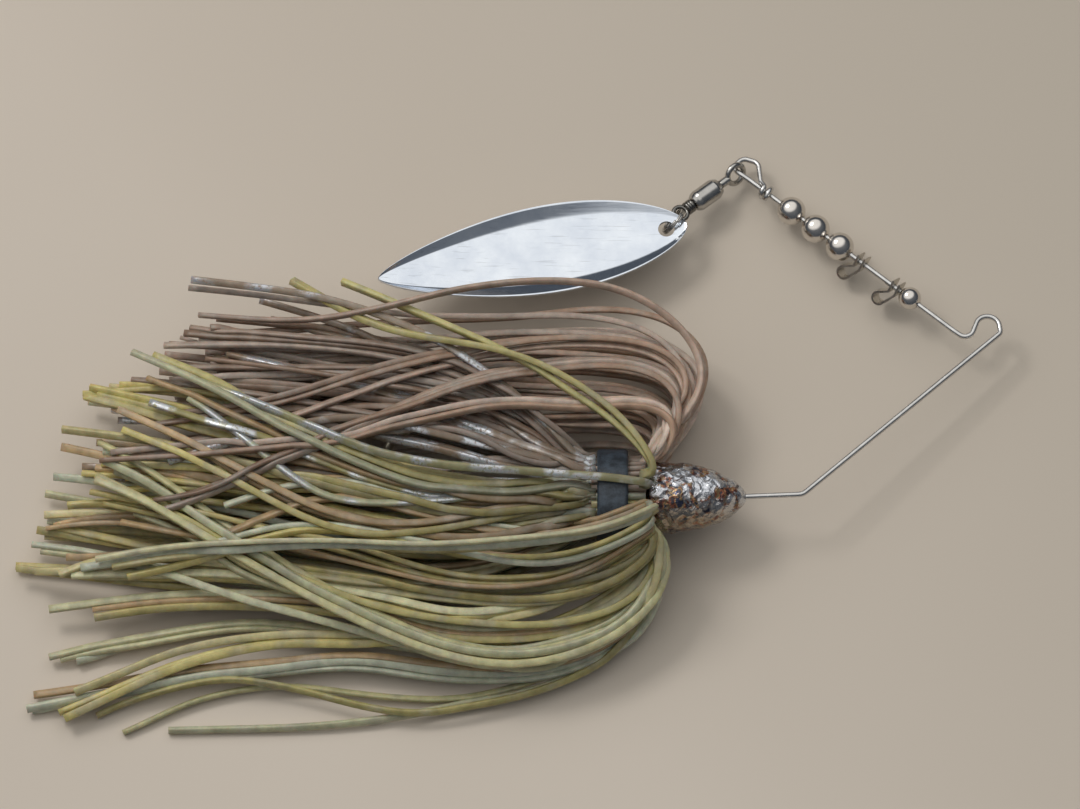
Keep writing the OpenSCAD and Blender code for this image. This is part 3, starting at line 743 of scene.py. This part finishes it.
# Each lock: the end of its CAD node's name, its tones, how many legs grow from each leader, how
# far they wander, and the leaders. Stops are millimetres from the nose's place on the table.
LOCKS = [
    ("back_fold", BROWN, 1, 0.5, brown_loops()),
    ("back_fold", BROWN, 3, 1.3, [
        [(-14, 3.8, 11.5), (-10.5, 8, 12.5), (-9.8, 11.2, 13), (-15.5, 12.6, 13.2),
         (-21.4, 11.8, 13.4), (-33.5, 12.5, 13.4), (-41, 11.5, 13.2), (-50.7, 9, 12.8),
         (-57.6, 7.2, 12.4), (-66, 7, 11.8), (-75.7, 7, 10.6), (-88, 6.4, 8.6)],
        [(-14, 4.2, 11), (-10, 9, 11.8), (-8.5, 13, 12.4), (-11, 16.5, 12.8), (-18, 18.3, 13),
         (-30, 17, 13), (-39, 15, 13), (-46.3, 12, 12.8), (-54, 8.6, 12.6), (-67, 2.8, 11.8),
         (-75, -0.8, 10.6), (-81, -2.5, 9.6)],
        [(-14, 4.2, 10), (-10, 9.4, 10.8), (-7.6, 14, 11.4), (-9, 18.6, 11.8), (-15, 21.5, 12),
         (-27, 22, 12.2), (-40, 20, 12.2), (-52, 17, 12), (-64, 13.4, 11), (-74, 11.4, 9.6),
         (-82, 10.6, 8.4)],
    ]),
    ("back_inner", BROWN, 4, 3.0, [
        [(-23.5, 4.8, 11), (-26.5, 8, 11.5), (-31, 12.5, 11.6), (-38, 17.5, 11), (-48, 21, 10),
         (-62, 23, 8.5), (-78, 25, 6)],
        [(-23.5, 4.6, 10), (-26, 7.2, 10.4), (-30, 10.5, 10.6), (-37, 14, 10.4), (-48, 17, 9.8),
         (-62, 18, 8.4), (-80, 18, 6)],
        [(-23.5, 5, 9), (-28, 9.5, 9.5), (-34, 14.5, 9.6), (-44, 19.5, 9), (-58, 22.5, 7.5),
         (-76, 24, 5.5)],
        [(-23.5, 4.5, 10), (-30, 7.5, 10.5), (-38, 11, 10.5), (-50, 14, 9.6), (-64, 16, 8),
         (-78, 17.5, 6)],
        [(-23.5, 3, 12), (-31, 5, 12), (-40, 8, 11.6), (-54, 11, 10.2), (-68, 13, 8.4),
         (-82.5, 14.5, 6)],
        [(-23.5, 4.8, 7), (-32, 8.5, 7), (-42, 13, 6.6), (-56, 17, 5.6), (-72, 20, 4),
         (-79, 22, 2.6)],
        [(-23.5, 4, 5), (-34, 8, 4.4), (-48, 12.5, 3.6), (-64, 16, 2.6), (-80, 19, 1.6)],
    ]),
    ("core_flake", CLEAR, 2, 1.8, [
        [(-23.5, 2.2, 12.6), (-30, 5, 11.6), (-38, 8.8, 10.6), (-48, 14, 9.6), (-60, 18, 8),
         (-72, 22, 6)],
        [(-23.5, 1, 12.8), (-34, 3.5, 11.8), (-46, 7, 10.8), (-60, 10, 9.4), (-76, 12, 7.2),
         (-88, 14, 5)],
        [(-23.5, 3.5, 12), (-31, 9, 10.8), (-37, 14, 9.8), (-45, 19, 9), (-56, 24, 7.6),
         (-66, 27, 6)],
        [(-23.5, -0.5, 12.8), (-36, 0.5, 11.6), (-50, 2, 10.6), (-66, 4, 8.8), (-84, 5, 6),
         (-92, 6, 4)],
    ]),
    ("core_flake", SAGE, 1, 1.5, [
        [(-23.5, -0.4, 12.9), (-34, -1.2, 12.7), (-44, -0.6, 12.7), (-54, 2.4, 12.5),
         (-64, 7.4, 12.1), (-74, 12.6, 11.2), (-83, 17, 10)],
    ]),
    ("belly_inner", SAGE + OLIVE, 3, 1.7, [
        [(-23.5, -0.4, 12.9), (-34, -1.2, 12.7), (-44, -0.6, 12.6), (-54, 2.4, 12.3),
         (-64, 7.4, 11.9), (-74, 12.6, 11), (-83, 17, 9.8)],
        [(-23.5, -1.4, 12.8), (-36, -4, 12.6), (-48, -5.6, 12.4), (-58, -3.6, 12.2),
         (-68, 1.6, 11.8), (-78, 7.6, 11), (-87, 12.4, 9.6)],
    ]),
    ("belly_inner", OLIVE, 6, 2.6, [
        [(-23.5, -1.6, 12.8), (-30, -2.2, 12.6), (-38, -2, 12.2), (-48, 0.5, 11.6), (-60, 4, 10.6),
         (-74, 7, 8.6), (-90, 9, 5.5)],
        [(-23.5, -3.5, 11.8), (-31, -5.5, 11.6), (-40, -6, 11), (-52, -3.5, 10.4), (-66, 0, 9.4),
         (-80, 3, 7.6), (-92, 4.5, 5.5)],
        [(-23.5, -5, 9), (-31, -8.5, 8.8), (-42, -10.5, 8.2), (-56, -9, 7.6), (-72, -5, 6.6),
         (-88, -2.5, 5), (-97, -3, 3.6)],
        [(-23.5, -4.6, 6), (-34, -9.5, 5.4), (-48, -12, 4.8), (-64, -10.5, 4.2), (-82, -8, 3.4),
         (-99, -5, 2.6)],
        [(-23.5, -3, 4), (-36, -7, 3), (-52, -8, 2.4), (-72, -4, 1.8), (-94, -2, 1.2)],
        [(-23.5, -1, 12.9), (-34, -0.5, 12), (-46, 2, 11), (-60, 6.5, 9.4), (-76, 12, 7.6),
         (-90, 16.5, 6)],
    ]),
    ("belly_fold", OLIVE, 3, 1.3, [
        [(-13.3, -4.5, 10.5), (-11.7, -9, 9.5), (-12.5, -14.2, 8), (-16.2, -17.2, 7),
         (-23, -21.6, 6), (-30, -23.7, 5.8), (-42, -22.4, 6.5), (-49, -19.8, 7.4),
         (-57.6, -15, 8.6), (-65.8, -12, 9), (-71.5, -9, 9.3), (-76.4, -4.8, 9), (-84.3, 0.3, 7.5)],
        [(-13, -5, 8), (-12.5, -8.5, 7), (-14.9, -11, 6.6), (-17.9, -13.7, 6), (-23, -17, 5.5),
         (-30, -19.4, 5), (-37, -20.4, 4.6), (-44, -19.8, 4.6), (-54, -20, 4.4), (-65, -19.8, 4.2),
         (-78, -22.6, 3.6), (-88, -26.7, 2.8), (-95, -29.4, 1.8)],
        [(-13.5, -5.2, 10), (-13.3, -7.5, 9.5), (-16.9, -9.2, 9.3), (-20.3, -11.4, 9),
         (-24.9, -14.9, 8.4), (-30, -16.8, 8), (-37, -17.7, 7.6), (-43.8, -16.8, 7.4),
         (-49, -15.2, 7.4), (-57.6, -13.2, 7.2), (-70, -11, 6.6), (-84, -10, 5.8),
         (-98.5, -9.6, 4.4)],
        [(-13, -4.6, 7), (-11.8, -8.5, 5.5), (-12.6, -13.5, 4.6), (-16.5, -18.3, 4),
         (-22, -22, 3.6), (-30, -24, 3.4), (-42, -24, 3.4), (-54, -22, 3.4), (-65, -23.4, 3.2),
         (-78, -24.9, 2.8), (-90, -27, 2.2), (-99.5, -28.7, 1.4)],
        [(-13, -5, 9), (-12.3, -9, 8), (-15, -13.5, 7), (-21, -17, 6.6), (-30, -18.6, 6.2),
         (-42, -18.2, 6), (-54, -14.6, 6), (-68, -13.2, 5.4), (-81, -13.2, 4.6),
         (-96.5, -14.8, 3.4)],
        [(-13, -4.8, 6), (-12.2, -9, 4.6), (-14.5, -14.5, 3.8), (-20.5, -18.8, 3.4), (-30, -21, 3),
         (-42, -20.6, 3), (-54, -18.5, 2.8), (-68, -16.6, 2.6), (-81, -18, 2.2),
         (-96.5, -21.2, 1.6)],
    ]),
    ("belly_fold", SAGE, 4, 1.5, [
        [(-13.2, -4.6, 9.6), (-11.6, -8.6, 9), (-12.6, -14, 8), (-17, -18.2, 7.4),
         (-24, -21.4, 7.2), (-33, -22.8, 7.4), (-43.7, -21, 8), (-57.6, -14.9, 9.2),
         (-71.5, -6.6, 10.2), (-82.6, 1.6, 9.8), (-89, 5.2, 8.8)],
    ]),
    ("side_fold", OLIVE, 3, 2.0, [
        [(-14.4, -3, 13.2), (-12.4, -4.4, 16), (-15, -6.6, 18.2), (-21, -8.6, 18),
         (-30, -9.6, 16.4), (-44, -9.6, 14.4), (-60, -8.4, 12.6), (-78, -9, 10), (-92, -10, 7)],
        [(-14.4, -3.2, 13), (-12.8, -3.4, 14), (-14.8, -4.2, 14.2), (-18.6, -5.4, 13.2),
         (-24.4, -6.7, 12.2), (-31.7, -6.5, 12), (-38.3, -5.5, 12), (-45.5, -3.2, 11.8),
         (-52.5, -1.2, 11.6), (-58.9, -1.2, 11.3), (-65.3, -3.4, 10.8), (-72, -6, 9.6)],
        [(-14, -5, 11.5), (-12.8, -6, 12), (-15.5, -8, 12), (-19.6, -10.8, 11.5),
         (-24.4, -12.9, 11), (-30, -13.6, 10.8), (-37, -13.4, 10.6), (-43.9, -12.7, 10.4),
         (-50.7, -10.3, 10.2), (-57.6, -8, 10), (-65.3, -6.1, 9.6), (-77, -3.6, 8.5),
         (-89, -0.5, 7)],
        [(-14.4, -4, 12.4), (-12.6, -5, 13), (-16, -7, 13), (-21, -9.4, 12.4), (-28, -10.4, 12),
         (-38, -9.4, 11.6), (-50, -6.6, 11), (-62, -5, 10.4), (-76, -8, 8.6), (-90, -10, 6)],
        [(-14.2, -5.2, 11), (-12.4, -8, 11), (-15.4, -11.4, 10.4), (-22, -14.6, 10),
         (-31, -15.6, 9.6), (-42, -14.4, 9.4), (-54, -12, 9), (-68, -9.5, 8), (-84, -8.2, 6)],
    ]),
    ("outer_legs", SAGE, 1, 0.4, [
        [(-13.4, -3.8, 6), (-11.8, -6, 5.2), (-12.2, -10, 4.6), (-14.4, -14.9, 3.6),
         (-17.9, -19.8, 2.8), (-23, -23.4, 2.2), (-30, -26.2, 1.6), (-38.3, -27.9, 1.2),
         (-45.5, -29, 1), (-53, -30.1, 0.9), (-62, -31.1, 0.7), (-72, -31.6, 0.6),
         (-82, -31.8, 0.6)],
        [(-13.4, -4, 7), (-11.4, -6.4, 6), (-11.6, -10.6, 5), (-13.8, -15.4, 4),
         (-17.2, -20.2, 3.4), (-22.4, -24, 2.8), (-29.4, -27, 2.4), (-38, -28.8, 2.2),
         (-45.5, -29.6, 2.2), (-53.5, -28.8, 2.2), (-62, -26.7, 2.4), (-68.4, -25.2, 2.8),
         (-73.2, -24.9, 2.8), (-80, -26.2, 2.2), (-87, -28.5, 1.4), (-92, -31.6, 0.8)],
        [(-13.4, -4.4, 5), (-12, -7, 4), (-13, -11.5, 3), (-16.5, -17, 2.4), (-22.5, -21.2, 2),
         (-30, -24.6, 1.6), (-40, -26.4, 1.4), (-52, -25.6, 1.4), (-64, -24.6, 1.6),
         (-76, -26.6, 1.4), (-85.5, -31.8, 0.7)],
    ]),
    ("under_tuft", OLIVE, 3, 1.4, [
        [(-14.5, 2, 3.4), (-15, 3, 1.6), (-24, 3.4, 0.7), (-40, 4.5, 0.8), (-60, 6, 0.8),
         (-78, 7, 0.7)],
        [(-14.5, -2, 3.4), (-15, -2.6, 1.6), (-24, -2, 0.7), (-40, -1.5, 0.8), (-60, -1, 0.8),
         (-78, -0.5, 0.7)],
        [(-14.5, 0, 3), (-14.6, 0.2, 1.4), (-24, 1, 0.7), (-40, 1.5, 0.8), (-60, 2.5, 0.8),
         (-80, 3, 0.7)],
    ]),
]
# Legs that stand out and run alone: their lock, tone and stops
SINGLES = [
    ("side_fold", YELLOW[0], [
        (-14.5, 1.6, 13.2), (-12.6, 2, 14.4), (-14.2, 4.4, 14.8), (-18.6, 9.3, 14.5),
        (-23, 12.4, 14.2), (-29, 16.9, 13.8), (-35.6, 20.8, 13.4), (-43.2, 24.5, 12.6),
        (-50.7, 28.4, 11.4), (-56, 31, 10.4)]),
    ("side_fold", YELLOW[1], [
        (-14.5, 1.2, 13.4), (-12.4, 1.6, 15), (-13.2, 3.4, 15.6), (-17, 9, 15.4), (-22.4, 13.6, 15),
        (-29, 17.6, 14.8), (-36.4, 20.2, 14), (-45, 22, 12.8), (-52.5, 24.6, 11.6),
        (-63, 31.5, 9.5)]),
    ("core_flake", CLEAR[0], [
        (-23.5, 4.6, 11.6), (-28, 10, 12.2), (-36, 17, 12.4), (-46, 23.5, 12), (-58, 28.2, 11.2),
        (-68, 30.2, 10.4), (-77, 31.6, 9.6)]),
    ("core_flake", SAGE[1], [
        (-14.6, -0.2, 13.5), (-12.9, -0.4, 14.6), (-14.9, -0.2, 15.5), (-20, 0.4, 15.6),
        (-27.6, 1, 15.4), (-33.5, 1.7, 15), (-40.4, 2.2, 14.6), (-46.3, 3.4, 14.3),
        (-52.5, 5, 13.8), (-65.3, 11.2, 12.5), (-71.5, 14.2, 11.5), (-81.5, 19.6, 9)]),
    ("belly_fold", SAGE[0], [
        (-13, -4.9, 8.6), (-11.4, -8.6, 8), (-12, -13.6, 7), (-16, -18.2, 6), (-23, -22, 5.4),
        (-31, -23.4, 5.2), (-42, -22, 5.6), (-50, -20, 6.2), (-62, -16.8, 7.2), (-68.4, -15.2, 7.6),
        (-74.8, -13, 7.8), (-81.1, -10.5, 7), (-88.2, -8.2, 5.8)]),
    ("core_flake", SAGE[0], [
        (-23.5, 0.6, 12.9), (-36, -1.2, 12.6), (-48, -2.4, 12.4), (-58, -1.6, 12.2), (-64, 2.8, 12),
        (-70, 8, 11.4), (-77, 14, 10.6)]),
    ("core_flake", CLEAR[1], [
        (-23.5, 2.8, 12.4), (-34, 5.6, 12.4), (-44, 8.2, 12.2), (-54, 10.6, 12), (-62, 9.4, 11.8),
        (-70, 7.4, 11.2), (-80, 4.6, 10)]),
    ("belly_fold", SAGE[2], [
        (-13.2, -4.7, 9.2), (-11.8, -8, 9), (-13, -12.6, 8.6), (-18, -16.4, 8), (-27, -18.6, 7.8),
        (-38, -18.4, 8.2), (-50, -16.6, 8.8), (-62, -12.2, 9.4), (-72, -6.8, 9.6), (-82, -1.4, 9.2),
        (-90, 3.2, 8.2)]),
    ("belly_inner", OLIVE[0], [
        (-23.5, -0.6, 12.9), (-36, 0.4, 12.4), (-50, 3.5, 11.6), (-62, 8, 10.4), (-71.5, 11, 9.4),
        (-82, 14, 8.4), (-91, 16.4, 7.4)]),
    ("belly_inner", YELLOW[1], [
        (-23.5, -0.9, 12.9), (-36, -0.4, 12.4), (-50, 2.4, 11.6), (-62, 6.9, 10.4),
        (-71.5, 9.9, 9.4), (-82, 12.9, 8.4), (-90, 15.2, 7.4)]),
    ("back_fold", BROWN[0], [
        (-14.5, 3.5, 11.8), (-11.5, 7, 12.2), (-8.3, 11, 12), (-5.6, 15.5, 11.8),
        (-6.5, 20.3, 11.5), (-10, 24.5, 13), (-17.5, 28.3, 15), (-28, 29.4, 15.3),
        (-40, 28.3, 14.7), (-50.5, 26.2, 12.8), (-62, 25.8, 8.8), (-76, 27.5, 6.5)]),
    ("back_fold", BROWN[2], [
        (-14, 4.4, 10.6), (-10.4, 9, 10.8), (-8, 13, 10.8), (-8.6, 19, 10.6), (-13, 23.6, 10.4),
        (-22, 26, 10.2), (-34, 26, 10), (-46, 26.4, 9.4), (-55.7, 27.9, 8.8), (-67.4, 29.8, 8.2),
        (-77.4, 31.2, 7.4)]),
]


# How far the skirt reaches on the belly side, and on the back where its tips draw in to a corner
SKIRT_EDGE = -31.9
BACK_EDGE = 24.5
CORNER_FROM = -79
CORNER_SLOPE = 0.68


# How far back the tips reach, and how low a leg's stops and its middle go
TIP_LIMIT = -101.2
STOP_LOW, LEG_LOW = 0.6, 0.64


def back_limit(x):
    """The largest y the skirt reaches at x."""
    return BACK_EDGE - CORNER_SLOPE * (CORNER_FROM - x) if x < CORNER_FROM else math.inf


def grown(leader, wander):
    """A leg near its leader: its middle and end wander, its root stays with the others."""
    drift = Vector((0, rng.uniform(-1, 1), rng.uniform(-0.55, 0.55))) * wander
    swing = Vector((0, rng.uniform(-1, 1), rng.uniform(-0.3, 0.3))) * wander * 2.4
    n = len(leader) - 1
    out = []
    for i, stop in enumerate(leader):
        f = i / n
        p = Vector(stop) + drift * min(1, f * 3.2) + swing * f ** 2
        p.x += rng.uniform(-0.3, 0.3) * min(1, f * 3)
        p.y += rng.uniform(-0.45, 0.45) * min(1, f * 2)
        p.z = max(STOP_LOW, p.z)
        p.y = max(SKIRT_EDGE, min(p.y, back_limit(p.x)))
        out.append(p)
    out[0] += Vector((0, rng.uniform(-0.5, 0.5), rng.uniform(-0.5, 0.5)))
    out[-1] += (out[-1] - out[-2]) * rng.uniform(-0.45, 0.25)
    out[-1].x = max(out[-1].x, TIP_LIMIT)
    out[-1].y = min(out[-1].y, back_limit(out[-1].x))
    return out


# Between points along a leg, and the least between the middles of two legs
SPACING = 1.0
LEG_GAP = 0.86
# A leg that starts behind this x comes out under the collar, and gets a stop this far in front
UNDER_COLLAR, TUCKED = -22, 2.7
# How thick the brown and the yellow legs are beside the others
BROWN_SIZE, YELLOW_SIZE = 0.88, 1.2

legs = []
for lock, tones, count, wander, leaders in LOCKS:
    for leader in leaders:
        for k in range(count):
            stops = grown(leader, wander) if k or count == 1 else [Vector(s) for s in leader]
            legs.append({"lock": lock, "tone": rng.choice(tones), "stops": stops, "alone": False})
for lock, tone, stops in SINGLES:
    legs.append({"lock": lock, "tone": tone, "stops": [Vector(s) for s in stops], "alone": True})
for leg in legs:
    if leg["stops"][0].x < UNDER_COLLAR:
        leg["stops"].insert(0, leg["stops"][0] + Vector((TUCKED, 0, 0)))
    leg["points"] = spline(leg["stops"], SPACING)
    leg["flat"] = rng.uniform(-25, 25)
    leg["twist"] = rng.uniform(-70, 70)
    leg["size"] = rng.uniform(0.88, 1.08)
    if leg["tone"] in BROWN:
        leg["size"] *= BROWN_SIZE
    if leg["tone"] in YELLOW:
        leg["size"] *= YELLOW_SIZE


# The parting over the hook: its middle at the hook's height, half its length and half its width,
# how far it leans towards the belly for each millimetre up, and how far it's felt past its ends
PARTING = Vector((-43.5, 7.6, 7))
PARTING_LONG, PARTING_WIDE, PARTING_LEAN, PARTING_FELT = 9.5, 3.1, 0.364, 1.4
# Where the head, the neck and the collar begin behind the nose, and how far the legs stay off the
# head's surface, or from the wire's axis
HEAD_FROM, HEAD_CLEAR = 2, 0.6
NECK_FROM, NECK_CLEAR = 13.8, 5.2
COLLAR_FROM, COLLAR_TO, COLLAR_CLEAR = 15.8, 21.1, 7.35
# Millimetres of root that hold still, and those over which a leg comes free
HELD, FREEING = 1.5, 6
# How easily a leg that runs alone is pushed, the longest push of one round, and how much of the
# way to its neighbours' middle a point goes
ALONE_GIVE, PUSH_LIMIT, SMOOTHING = 0.3, 0.6, 0.35
QUICK_ROUNDS, ROUNDS = 8, 26


def clear_radius(x):
    """How far from the wire's axis the legs stay, x behind the nose."""
    if HEAD_FROM < x <= NECK_FROM:
        return head_radius(min(x, HEAD_LEN)) + HEAD_CLEAR
    if NECK_FROM < x <= COLLAR_FROM:
        return NECK_CLEAR
    return COLLAR_CLEAR if COLLAR_FROM < x < COLLAR_TO else 0.0


def keep_clear(points, free):
    """Lifts points off the table and moves them out of the head, the neck and the collar."""
    points[:, 2] = np.maximum(points[:, 2], LEG_LOW)
    points[:, 1] = np.maximum(points[:, 1], SKIRT_EDGE)
    radial = np.hypot(points[:, 1], points[:, 2] - AXIS_Z)
    keep = np.array([clear_radius(x) for x in -points[:, 0]])
    fix = (radial < keep) & (free[:, 0] > 0.02)
    scale = keep[fix] / np.maximum(radial[fix], 1e-6)
    points[fix, 1] *= scale
    points[fix, 2] = AXIS_Z + (points[fix, 2] - AXIS_Z) * scale


def crowding(points, owner):
    """The push on each point from points of other legs that are too close."""
    tree = kdtree.KDTree(len(points))
    for i, p in enumerate(points):
        tree.insert(p, i)
    tree.balance()
    push = np.zeros_like(points)
    for i, p in enumerate(points):
        for q, j, d in tree.find_range(p, LEG_GAP):
            if j > i and owner[j] != owner[i]:
                away = p - np.array(q)
                if d < 1e-6:
                    away, d = np.array((0, 0, 1.0)), 1.0
                away = away / d * (LEG_GAP - d) * 0.5
                push[i] += away
                push[j] -= away
    return push


def spread_apart(legs, rounds):
    """Pushes the legs off each other, out of the parting, and clear of the lure and the table."""
    points = np.array([p for leg in legs for p in leg["points"]], float)
    owner = np.concatenate([[i] * len(leg["points"]) for i, leg in enumerate(legs)])
    along = np.concatenate([np.arange(len(leg["points"])) for leg in legs])
    free = np.clip((along * SPACING - HELD) / FREEING, 0, 1)[:, None]
    parts = np.array([legs[i]["lock"] != "core_flake" for i in owner])
    give = np.array([ALONE_GIVE if legs[i]["alone"] else 1.0 for i in owner])[:, None]
    inner = (np.roll(owner, 1) == owner) & (np.roll(owner, -1) == owner)

    def parting():
        """Each point's place along the parting, its distance off it, and if it's near."""
        gap = (points[:, 0] - PARTING.x) / PARTING_LONG
        off = points[:, 1] - PARTING.y + PARTING_LEAN * (points[:, 2] - PARTING.z)
        near = parts & (np.abs(gap) < PARTING_FELT) & (points[:, 2] > PARTING.z)
        return gap, off, near

    _, off, near = parting()
    lean = np.bincount(owner[near], weights=off[near], minlength=len(legs))
    side = np.where(lean < 0, -1, 1)[owner]
    for _ in range(rounds):
        push = crowding(points, owner)
        points += np.clip(push, -PUSH_LIMIT, PUSH_LIMIT) * free * give
        smooth = (np.roll(points, 1, 0) + np.roll(points, -1, 0)) / 2
        points[inner] += (smooth - points)[inner] * SMOOTHING * free[inner]
        gap, off, near = parting()
        need = PARTING_WIDE * (1 - gap ** 2) - side * off
        points[:, 1] += np.where(near & (need > 0), side * np.minimum(need, 1.5) * 0.4, 0)
        keep_clear(points, free)
    start = 0
    for leg in legs:
        n = len(leg["points"])
        leg["points"] = [Vector(p) for p in points[start:start + n]]
        start += n


spread_apart(legs, ROUNDS)

# Half the width and half the height of a leg's section, and the size of its chamfers
LEG_WIDE, LEG_HIGH, CHAMFER = 0.53, 0.36, 0.13


def leg_rings(leg):
    """The corners of one leg: a square strip with small chamfers, slowly turning."""
    w, h, c = LEG_WIDE * leg["size"], LEG_HIGH * leg["size"], CHAMFER
    outline = [(w - c, -h), (w, c - h), (w, h - c), (w - c, h), (c - w, h), (-w, h - c),
               (-w, c - h), (c - w, -h)]
    points = leg["points"]
    rings = []
    n = len(points)
    for i, (t, a, b) in enumerate(frames(points)):
        angle = math.radians(leg["flat"] + leg["twist"] * i / n)
        u = a * math.cos(angle) + b * math.sin(angle)
        v = t.cross(u)
        rings.append([points[i] + u * x + v * y for x, y in outline])
    return rings


# How light each lock is at its roots and at its tips: painted light and shade along the legs,
# darker where they lie in the skirt's shade and lighter where they catch the light
ROOT_TIP_PAINTED_LIGHT = {"back_fold": (1.75, 1.05), "back_inner": (0.52, 1.12), "core_flake": (0.72, 1.30),
        "belly_inner": (0.42, 1.55), "belly_fold": (1.35, 1.42), "side_fold": (0.98, 1.40),
        "outer_legs": (1.20, 1.35), "under_tuft": (0.80, 1.25), "bundle": (0.90, 0.90)}


def leg_mesh(lock, group, mat, slot):
    """One mesh of a lock's legs, with each leg's tone and its painted light and shade from root to
    tip held in a colour layer.
    """
    verts, faces, tones = [], [], []
    root, tip = ROOT_TIP_PAINTED_LIGHT[lock]
    for leg in group:
        rings = leg_rings(leg)
        sides = len(rings[0])
        faces += capped(len(verts), len(rings), sides)
        for ring in rings:
            verts += [table_point(p) for p in ring]
        shade = rng.uniform(0.86, 1.14)
        for i in range(len(rings)):
            # Painted light and shade: each ring's tone is scaled from the root's value to the
            # tip's.
            light = shade * (root + (tip - root) * i / len(rings))
            tones += [tuple(min(1, c * light) for c in leg["tone"][:3]) + (1,)] * sides
    obj = piece("legs_" + lock, verts, faces, mat, "lure", ["skirt_" + lock], slot)
    layer = obj.data.color_attributes.new("tone", "FLOAT_COLOR", "POINT")
    layer.data.foreach_set("color", [c for tone in tones for c in tone])
    for face in obj.data.polygons:
        if len(face.vertices) > 4:
            face.use_smooth = False


SLOTS = {"back_fold": "brown_silicone", "back_inner": "brown_silicone",
         "core_flake": "flake_silicone"}
for lock in dict.fromkeys(row[0] for row in LOCKS):
    group = [leg for leg in legs if leg["lock"] == lock]
    mat = silicone_flake if lock == "core_flake" else silicone
    leg_mesh(lock, group, mat, SLOTS.get(lock, "olive_silicone"))

# The legs' middles, packed round the keeper neck under the collar: each layer's radius and number
# of legs, which are brown on the blade's side and on top
BUNDLE_LAYERS = ((4.62, 26), (5.25, 30))
bundle = []
for layer, (radius, count) in enumerate(BUNDLE_LAYERS):
    for k in range(count):
        a = math.tau * (k + 0.5 * layer) / count
        flare = rng.uniform(0, 0.25)
        stops = [wire_plane(x, (radius + f) * math.cos(a), (radius + f) * math.sin(a)) - NOSE
                 for x, f in ((-13.9, flare), (-16, 0), (-18.5, 0), (-21.4, 0))]
        warm = math.sin(a) * 0.6 + math.cos(a) > 0.2
        tone = rng.choice(BROWN if warm else OLIVE)
        bundle.append({"tone": tone, "points": spline(stops, SPACING), "flat": math.degrees(a),
                       "twist": 0, "size": 0.96})
leg_mesh("bundle", bundle, silicone, "olive_silicone")


# ---- CAD nodes that stay

for name, mat in {"hook": hook_metal, "bead_1": bead_nickel, "bead_2": bead_nickel,
                  "bead_3": bead_nickel, "bead_4": bead_nickel, "clevis_1": clevis_nickel,
                  "clevis_2": clevis_nickel, "swivel_upper_eye": swivel_nickel,
                  "swivel_barrel": swivel_nickel, "swivel_lower_eye": swivel_nickel_painted_shade,
                  "bearing_balls": bead_nickel}.items():
    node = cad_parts[name]
    node.data.materials.clear()
    node.data.materials.append(mat)


# ---- floor

# Half the floor's side, the way its painted shade deepens, and where along that way it does, in
# metres
FLOOR_HALF = 3.0
FLOOR_SHADE_WAY = (1, 0.8, 0)
FLOOR_SHADE_FROM, FLOOR_SHADE_FULL = -0.02, 0.14


def floor():
    """A painted surface, with painted shade making it a little darker towards the wire arm."""
    mesh = bpy.data.meshes.new("floor")
    s = FLOOR_HALF
    mesh.from_pydata([(-s, -s, 0), (s, -s, 0), (s, s, 0), (-s, s, 0)], [], [(0, 1, 2, 3)])
    mat, tree, shader = material("floor_paint", Roughness=0.85)
    wash = noise(tree, 6, 3, 0.5)
    tone = ramp(tree, wash, 0, [(0.3, srgb(209, 197, 182)), (0.7, srgb(218, 207, 193))])
    # Painted shade: the floor grows darker along that way, standing in for the light falling off.
    far = map_range(tree, reach(tree, "Object", FLOOR_SHADE_WAY), "Value", FLOOR_SHADE_FROM, FLOOR_SHADE_FULL, 1)
    shaded = mix(tree, "MIX", (far, 0), (tone, 0), srgb(196, 186, 171))
    link(tree, shaded, 2, shader, "Base Color")
    mesh.materials.append(mat)
    obj = bpy.data.objects.new("floor", mesh)
    bpy.context.scene.collection.objects.link(obj)


floor()
